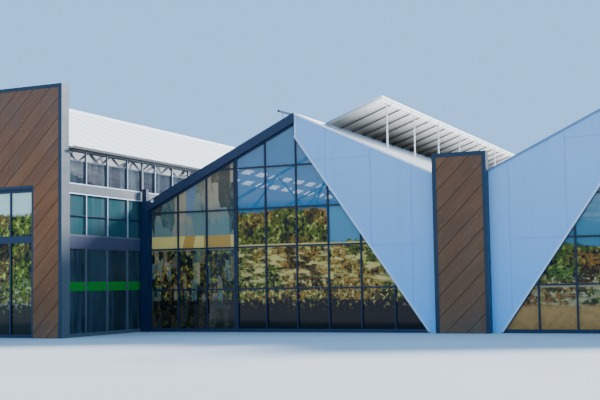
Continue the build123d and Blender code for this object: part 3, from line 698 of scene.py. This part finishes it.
def heads(points, setting):
    # short prisms on a wall that faces the front: ring = point + radius * (cos a, 0, sin a), carried by proud
    radius, proud, sides = (setting[key] for key in ("radius", "proud", "sides"))
    angles = np.arange(sides) * 2 * np.pi / sides
    ring = rowOf(np.cos(angles), 0.0, np.sin(angles)) * radius
    back = np.asarray(points, float)[:, None] + ring[None]
    verts = np.stack([back, back - np.array([0, proud, 0])], 1).reshape(-1, 3)
    return verts, sweepFaces(2, sides, len(points))


def screwPoints(area, front):
    # x = left + inset + i * stud and z = x + (k + place) * pitch, kept where they lie inside the area
    left, right, bottom, top = area
    edge = screws["edge"]
    xs = np.arange(left + screws["inset"], right - edge, screws["stud"])
    x, k, place = np.meshgrid(xs, boardNumbers(area), screws["places"], indexing="ij")
    z = x + (k + place) * boardPitch
    keep = (z > bottom + edge) & (z < top - edge)
    return rowOf(x[keep], front - boards["proud"], z[keep])


pillarScrews = screwPoints(pillarArea, pillarFront)
screenScrews = np.concatenate([screwPoints(area, screenFront) for area in screenAreas])
for name, points in (("pillar_screws", pillarScrews), ("screen_screws", screenScrews)):
    newPiece(name, heads(points, screws), "screwHead")
print("screw heads made:", len(pillarScrews) + len(screenScrews))


# white gable panels: coated sheets with open joints, and a folded trim down the slanted edge

vergeLow, vergeHigh = box("left_verge_beam")
peaks = vergeHigh[0], box("right_verge_beam")[0][0]
gable = {
    "half": vergeHigh[0] - vergeLow[0], "eave": vergeLow[2], "peak": vergeHigh[2], "slope": 0.475,
    "verge": 0.35, "cap": 0.07, "slantTop": 6.88, "foot": 1.18, "pane": 1.2,
}
panels = {
    "proud": 0.014, "gap": 0.026, "chamfer": 0.003, "samples": 60, "least": 0.01,
    "left": {"joints": (1.17, 2.82, 4.27, 5.72), "rows": ((5.98,), (5.98,), (2.95,), (2.95,), ())},
    "right": {"joints": (1.0, 2.62, 4.44, 5.6), "rows": ((6.16,), (6.16,), (3.02,), (), ())},
    "trim": {"width": 0.075, "depth": 0.03, "chamfer": 0.004, "drop": 0.02, "reach": 0.994},
}


def makePanel(hand, side):
    # u runs from the peak line to the valley; the sheets lie between
    # low(u) = slantTop * (1 - u / footPlace) and high(u) = peak - cap - slope * u,
    # with half a gap on both sides of each joint
    low, high = box(hand + "_white_panel")
    peakX, width = (low if side > 0 else high)[0], high[0] - low[0]
    footPlace = width - gable["foot"]
    front, half = low[1] - panels["proud"], panels["gap"] / 2
    edges = [0.0, *panels[hand]["joints"], width]
    sheets = []
    for a, b, rows in zip(edges, edges[1:], panels[hand]["rows"]):
        us = np.linspace(a + half * (a > 0), b - half * (b < width), panels["samples"])
        slant = np.maximum(gable["slantTop"] * (1 - us / footPlace), 0)
        verge = gable["peak"] - gable["cap"] - gable["slope"] * us
        levels = [0.0, *rows, gable["peak"]]
        for bottom, top in zip(levels, levels[1:]):
            lows, highs = np.maximum(slant, bottom + half * (bottom > 0)), np.minimum(verge, top - half)
            keep = highs - lows > panels["least"]
            if keep.sum() < 2:
                continue
            xs, lows, highs = (values[keep][::side] for values in (peakX + side * us, lows, highs))
            sheets.append(wallSheet(xs, lows, highs, front, low[1], panels["chamfer"]))
    newPiece(hand + "_panel_sheets", joined(sheets), "whitePanel")
    # the trim runs down the slant from the peak line, and from there up to the cap;
    # it is handed back, because both panels' trims are one piece
    trim, slantTop = panels["trim"], gable["slantTop"]
    middle, top = peakX + side * trim["width"] / 2, gable["peak"] - gable["cap"] - trim["drop"]
    starts = [(peakX, front, slantTop), (middle, front, top)]
    foot = peakX + side * footPlace * trim["reach"], front, slantTop * (1 - trim["reach"])
    ends = [foot, (middle, front, slantTop)]
    return carriedBars(starts, ends, (0, 1, 0), trim["depth"], trim["width"], trim["chamfer"])


newPiece("slant_trims", joined([makePanel("left", 1), makePanel("right", -1)]), "panelTrim")
print("panel sheets made")


# strips under the ribs of the large flaps, dark as painted shade, ribs under the narrow ones, strips on their
# ends, and stays

flaps = {
    "hingeReach": 0.11, "hingeDrop": 0.04, "pitch": 1.2, "ribFace": 0.045, "chamfer": 0.002,
    "large": {"side": 1, "tilt": 20.4}, "narrow": {"side": -1, "tilt": 19.0},
    "largeRib": {"from": 0.09, "to": 2.26, "width": 0.05, "height": 0.044, "under": 0.06, "first": 1},
    "narrowRib": {"from": 0.06, "to": 0.6, "width": 0.045, "height": 0.034, "under": 0.016, "first": 0},
    "largeEnd": {"from": 0.0, "to": 2.39, "width": 0.014, "height": 0.03, "under": 0.012},
    "narrowEnd": {"from": 0.0, "to": 0.62, "width": 0.014, "height": 0.045, "under": 0.018},
    "narrowFold": {"from": 0.53, "to": 0.62, "width": 0.014, "height": 0.07, "under": 0.0},
    "stay": {"along": 0.5, "under": 0.03, "foot": 0.5, "first": 0.12, "pitch": 3.25, "width": 0.026},
    "freeEdge": {"along": 0.612, "width": 0.014, "height": 0.034},
}
hingeZ = box("left_verge_cap")[1][2] - flaps["hingeDrop"]
slopeTop = box("left_gable_left_roof")[1][2]


def flapPoint(kind, peak, a, b=0.0):
    # a metres up the flap's slope from its hinge and b metres square to it, where t is its tilt:
    # x = peak + side * (reach + a * cos t - b * sin t), z = hinge + a * sin t + b * cos t
    side, t = flaps[kind]["side"], radians(flaps[kind]["tilt"])
    return peak + side * (flaps["hingeReach"] + a * cos(t) - b * sin(t)), hingeZ + a * sin(t) + b * cos(t)


def flapBars(kind, setting, ys, under, chamfer=0.0):
    # at each y a bar up the slope of both flaps of a kind, its middle at the given distance under their line
    bars = []
    for peak in peaks:
        ends = [flapPoint(kind, peak, a, -under) for a in (setting["from"], setting["to"])]
        rows = [rowOf(x, ys, z) for x, z in ends]
        bars.append(carriedBars(*rows, (0, 1, 0), setting["width"], setting["height"], chamfer))
    return bars


def flapRibs(kind, setting):
    # a rib every pitch and one at the far end
    low, high = box(kind + "_ridge_flaps")
    half = flaps["ribFace"] / 2
    ys = np.append(np.arange(low[1], high[1] - flaps["pitch"] / 2, flaps["pitch"]) + half, high[1] - half)
    return joined(flapBars(kind, setting, ys[setting["first"]:], setting["under"] + setting["height"] / 2))


def flapEnds(kind, names):
    # thin strips across the near end of both flaps
    near = box(kind + "_ridge_flaps")[0][1]
    bars = []
    for setting in (flaps[name] for name in names):
        bars += flapBars(kind, setting, [near - setting["width"] / 2], setting["under"], flaps["chamfer"])
    return joined(bars)


def narrowStays():
    # thin stays from the roof up to each narrow flap, and a strip along the flap's free edge
    stay, strip = flaps["stay"], flaps["freeEdge"]
    low, high = box("narrow_ridge_flaps")
    ys = np.arange(low[1] + stay["first"], high[1], stay["pitch"])
    bars = []
    for peak in peaks:
        x, z = flapPoint("narrow", peak, stay["along"])
        feet = rowOf(peak - stay["foot"], ys, slopeTop - gable["slope"] * stay["foot"])
        tops = rowOf(x, ys, z - stay["under"])
        bars.append(carriedBars(feet, tops, (0, 1, 0), stay["width"], stay["width"]))
        x, z = flapPoint("narrow", peak, strip["along"])
        ends = (x, low[1], z), (x, high[1], z)
        bars.append(carriedBars(*ends, (1, 0, 0), strip["width"], strip["height"], flaps["chamfer"]))
    return joined(bars)


newPiece("narrow_flap_stays", narrowStays(), "flapRod")
newPiece("narrow_flap_ends", flapEnds("narrow", ("narrowEnd", "narrowFold")), "edgeStrip")
newPiece("flap_edge_strips", flapEnds("large", ("largeEnd",)), "edgeStrip")
newPiece("flap_rib_shade_strips", flapRibs("large", flaps["largeRib"]), "ribShadeStrip")
newPiece("narrow_flap_ribs", flapRibs("narrow", flaps["narrowRib"]), "flapSheet")
print("flap ribs made")


# seams on the roof slopes, rooflights in the low roofs

roofs = {
    "thick": 0.09, "seamPitch": 1.2, "seamWidth": 0.035, "seamHeight": 0.022, "wingSeamHeight": 0.008,
    "seamChamfer": 0.003, "first": 0.6, "last": 0.1, "ridgeClear": 0.2, "eaveClear": 0.01,
    "ventClear": 1.54, "ventMargin": 0.05,
}
lights = {
    "rows": (3.2, 3.8), "length": 0.62, "pitch": 1.2, "width": 0.26, "height": 0.02,
    "first": 1.3, "last": 0.8, "below": 0.012, "above": 0.008,
}


def slopePoints(node, distances, ys, lift):
    # points on a roof slope at level distances d from its peak line, raised straight up by lift:
    # x = peakX + (eaveX - peakX) * d / span and z = peakZ + (eaveZ - peakZ) * d / span + lift
    low, high = box(node)
    peakX, eaveX = (low[0], high[0]) if node.endswith("_right_roof") else (high[0], low[0])
    peakZ, eaveZ = high[2], low[2] + roofs["thick"]
    share = np.asarray(distances) / (high[0] - low[0])
    return rowOf(peakX + (eaveX - peakX) * share, ys, peakZ + (eaveZ - peakZ) * share + lift)


def makeSeams():
    # bars down every slope at y = near end + first + k * pitch, from below the ridge or the vent to the eave
    vent = box("large_ridge_flaps")
    ventStart, ventEnd = vent[0][1] - roofs["ventMargin"], vent[1][1] + roofs["ventMargin"]
    bars = []
    halls = "wing", "left_gable", "right_gable"
    for node in [hall + hand for hall in halls for hand in ("_left_roof", "_right_roof")]:
        low, high = box(node)
        height = roofs["wingSeamHeight" if node.startswith("wing") else "seamHeight"]
        ys = np.arange(low[1] + roofs["first"], high[1] - roofs["last"], roofs["seamPitch"])
        inVent = (ys > ventStart) & (ys < ventEnd) & node.endswith("gable_right_roof")
        tops = slopePoints(node, np.where(inVent, roofs["ventClear"], roofs["ridgeClear"]), ys, height / 2)
        feet = slopePoints(node, high[0] - low[0] - roofs["eaveClear"], ys, height / 2)
        bars.append(carriedBars(tops, feet, (0, 1, 0), roofs["seamWidth"], height, roofs["seamChamfer"]))
    newPiece("roof_seams", joined(bars), "shadedRoofSeam")


def makeRooflights():
    # flat plates in rows along the left slopes, one under the slab and one over it at each
    # y = near end + first + k * pitch
    under, over = [], []
    for node in ("left_gable_left_roof", "right_gable_left_roof"):
        low, high = box(node)
        ys = np.arange(low[1] + lights["first"], high[1] - lights["last"], lights["pitch"])
        down = np.diff(slopePoints(node, (0, 1), np.zeros(2), 0.0), axis=0)[0]
        down /= np.linalg.norm(down)
        for row in lights["rows"]:
            for plates, lift in ((under, -roofs["thick"] - lights["below"]), (over, lights["above"])):
                ends = [slopePoints(node, row, ys + way * lights["length"] / 2, lift) for way in (-1, 1)]
                plates.append(carriedBars(*ends, down, lights["width"], lights["height"]))
    newPiece("rooflight_liners", joined(under), "rooflight")
    newPiece("rooflight_panels", joined(over), "rooflightTop")


makeSeams()
makeRooflights()
print("roof seams and rooflights made")


# entrance side: fascia over the doors, thin rail over it, green film on the glass;
# each band has its bottom, top, depth, distance that it stands out, finish and slot

entrance = {"from": 0.06, "to": 0.114, "chamfer": 0.008}
entranceBands = {
    "entrance_fascia": (2.98, 3.415, 0.05, 0.006, "entranceFascia", "pale_frame"),
    "entrance_thin_rail": (4.1, 4.14, 0.04, -0.004, "darkFrame", "dark_frame"),
    "entrance_green_film": (1.55, 1.86, 0.006, -0.054, "greenFilm", "pale_frame"),
}


def makeEntrance():
    # level bands along the wall, their outer face at x = face of the bars + out
    low, high = box("entrance_side_bars")
    start, end = low[1] + entrance["from"], high[1] - entrance["to"]
    for name, (bottom, top, depth, out, finish, slot) in entranceBands.items():
        x, z = high[0] + out - depth / 2, (bottom + top) / 2
        chamfer = min(depth / 4, entrance["chamfer"])
        band = carriedBars((x, start, z), (x, end, z), (1, 0, 0), depth, top - bottom, chamfer)
        newPiece(name, band, finish)


makeEntrance()
print("entrance side made")


# side walls: slim pale caps on the posts, and a folded line along both edges of the deep beam;
# each wall has its outward side, the way from its near end to its first post and its spans between rails

sideCaps = {
    "step": 1.28, "width": 0.028, "proud": 0.01, "sink": 0.001, "chamfer": 0.002, "last": 0.06,
    "beam": (4.85, 5.22), "edge": 0.035,
    "spans": {"foot": (0.12, 3.42), "middle": (3.475, 4.85), "head": (5.22, 6.33), "lowHead": (3.475, 4.6)},
    "walls": {
        "entrance_side_bars": (1, 1.0, ("middle", "head")),
        "clerestory_bars": (1, 0.88, ("head",)),
        "wing_left_side_bars": (-1, 1.0, ("foot", "middle", "head")),
        "right_side_bars": (1, 1.28, ("foot", "lowHead")),
    },
}


def makeSideCaps():
    # caps run straight up over the posts, y = near end + first + k * step;
    # the edge lines run along the wall at fixed heights
    proud, edge, chamfer = sideCaps["proud"], sideCaps["edge"], sideCaps["chamfer"]
    beamLow, beamHigh = sideCaps["beam"]
    bars = []
    for node, (side, first, spans) in sideCaps["walls"].items():
        low, high = box(node)
        x = (high if side > 0 else low)[0] + side * (proud / 2 - sideCaps["sink"])
        ys = np.arange(low[1] + first, high[1] - sideCaps["last"], sideCaps["step"])
        for bottom, top in (sideCaps["spans"][span] for span in spans):
            ends = rowOf(x, ys, bottom), rowOf(x, ys, top)
            bars.append(carriedBars(*ends, (1, 0, 0), proud, sideCaps["width"], chamfer))
        if high[2] > beamHigh:
            end = box("left_corner_column")[0][1] if node.startswith("entrance") else high[1]
            for z in (beamLow + edge / 2, beamHigh - edge / 2):
                bars.append(carriedBars((x, low[1], z), (x, end, z), (1, 0, 0), proud, edge, chamfer))
    newPiece("side_wall_caps", joined(bars), "panelTrim")


makeSideCaps()
print("side caps made")


# narrow caps on the bars of the gable fronts, a cover on the wide upright

caps = {
    "uprights": (-4, 4), "wide": -2, "rails": (1.53, 3.02, 4.38, 5.86), "sill": 0.12, "slantInset": 0.09,
    "width": 0.026, "wideWidth": 0.09, "proud": 0.01, "sink": 0.001, "chamfer": 0.002, "clear": 0.02,
    "eaveClear": 0.15, "samples": 1200,
}


def glazedTop(u):
    # height of the glazing at u, measured from the peak line and positive under the white panel:
    # eave + slope * (half - |u|), and under the panel no more than slantTop * (1 - u / footPlace)
    verge = gable["eave"] + gable["slope"] * (gable["half"] - np.abs(u))
    footPlace = gable["half"] - caps["slantInset"] - gable["foot"]
    return np.where(u > 0, np.minimum(verge, gable["slantTop"] * (1 - u / footPlace)), verge)


def makeCaps():
    # upright caps at x = peak + side * k * pane, from the sill to the top of the glazing;
    # level caps at the rails, as far as the glazing is higher than they are
    proud, width, chamfer = caps["proud"], caps["width"], caps["chamfer"]
    us = np.arange(*caps["uprights"]) * gable["pane"]
    wide = np.arange(*caps["uprights"]) == caps["wide"]
    line = np.linspace(caps["eaveClear"] - gable["half"], gable["half"], caps["samples"])
    bars = []
    for node, peak, side in zip(("left_gable_bars", "right_gable_bars"), peaks, (1, -1)):
        y = box(node)[0][1] - proud / 2 + caps["sink"]
        for chosen, capWidth in ((~wide, width), (wide, caps["wideWidth"])):
            xs, tops = peak + side * us[chosen], glazedTop(us[chosen]) - caps["clear"]
            ends = rowOf(xs, y, caps["sill"]), rowOf(xs, y, tops)
            bars.append(carriedBars(*ends, (1, 0, 0), capWidth, proud, chamfer))
        for z in caps["rails"]:
            inside = peak + side * line[glazedTop(line) > z + caps["clear"]]
            start, end = (inside.min(), y, z), (inside.max(), y, z)
            bars.append(carriedBars(start, end, (0, 1, 0), proud, width, chamfer))
    newPiece("glazing_caps", joined(bars), "glazingCap")


makeCaps()
print("glazing caps made")


# round cover at the low end of the left verge

vergeEnd = {"along": 0.19, "down": 0.1, "radius": 0.065, "proud": 0.02, "sides": 16}


def makeVergeCover():
    # a short prism under the verge line, whose height is eave + slope * along + verge
    z = gable["eave"] + gable["slope"] * vergeEnd["along"] + gable["verge"] - vergeEnd["down"]
    place = vergeLow[0] + vergeEnd["along"], vergeLow[1], z
    newPiece("verge_end_cover", heads([place], vergeEnd), "panelTrim")


makeVergeCover()
print("verge cover made")


# studio

studio = {
    "lens": 64.9, "sensor": 36, "clip": 2000, "place": (15.767, -45.194, 1.65),
    "yaw": -24.245, "pitch": 4.476, "roll": -0.9, "floor": 900.0, "cells": 8, "drop": 0.002,
    "sunTurn": (61, 0, 145), "sunPower": 12.0, "sunSoft": 12.0, "sunColour": (1.0, 0.96, 0.9),
    "skyPower": 1.25, "sky": (0.34, 0.68, 1.15),
}


def makeFloor():
    # a wide flat grid of squares, a little below the ground so that it touches nothing
    cells = studio["cells"]
    line = np.linspace(-studio["floor"], studio["floor"], cells + 1)
    xs, ys = np.meshgrid(line, line, indexing="ij")
    i, j = np.meshgrid(np.arange(cells), np.arange(cells), indexing="ij")
    a = (i * (cells + 1) + j).ravel()
    faces = np.stack([a, a + cells + 1, a + cells + 2, a + 1], 1)
    plainStone("studioFloor", rgb(206, 208, 210), rgb(198, 200, 202), scale=0.2, roughness=0.8, depth=0.0005)
    floor = meshObject("studio_floor", (rowOf(xs.ravel(), ys.ravel(), -studio["drop"]), faces), "studioFloor")


def makeCamera():
    # the camera looks along its forward vector, turned by yaw and pitch, and is then rolled about it
    yaw, pitch, roll = (radians(studio[key]) for key in ("yaw", "pitch", "roll"))
    forward = np.array([sin(yaw) * cos(pitch), cos(yaw) * cos(pitch), sin(pitch)])
    right = np.array([cos(yaw), -sin(yaw), 0.0])
    up = np.cross(right, forward)
    axes = right * cos(roll) + up * sin(roll), up * cos(roll) - right * sin(roll), -forward
    data = bpy.data.cameras.new("photo_view")
    data.lens = studio["lens"]
    data.sensor_width = studio["sensor"]
    data.clip_end = studio["clip"]
    camera = bpy.data.objects.new("photo_view", data)
    camera.matrix_world = Matrix.Translation(studio["place"]) @ Matrix(np.stack(axes, 1).tolist()).to_4x4()
    bpy.context.scene.collection.objects.link(camera)
    bpy.context.scene.camera = camera


def makeLight():
    # an even sky, and a soft sun behind the building and to its right
    world = bpy.data.worlds.new("paleRoom")
    world.use_nodes = True
    background = world.node_tree.nodes["Background"].inputs
    wire(world.node_tree, background, Color=(*studio["sky"], 1), Strength=studio["skyPower"])
    bpy.context.scene.world = world
    data = bpy.data.lights.new("soft_key", "SUN")
    data.energy = studio["sunPower"]
    data.angle = radians(studio["sunSoft"])
    data.color = studio["sunColour"]
    key = bpy.data.objects.new("soft_key", data)
    key.rotation_euler = [radians(a) for a in studio["sunTurn"]]
    bpy.context.scene.collection.objects.link(key)


makeFloor()
makeCamera()
makeLight()
print("studio made")
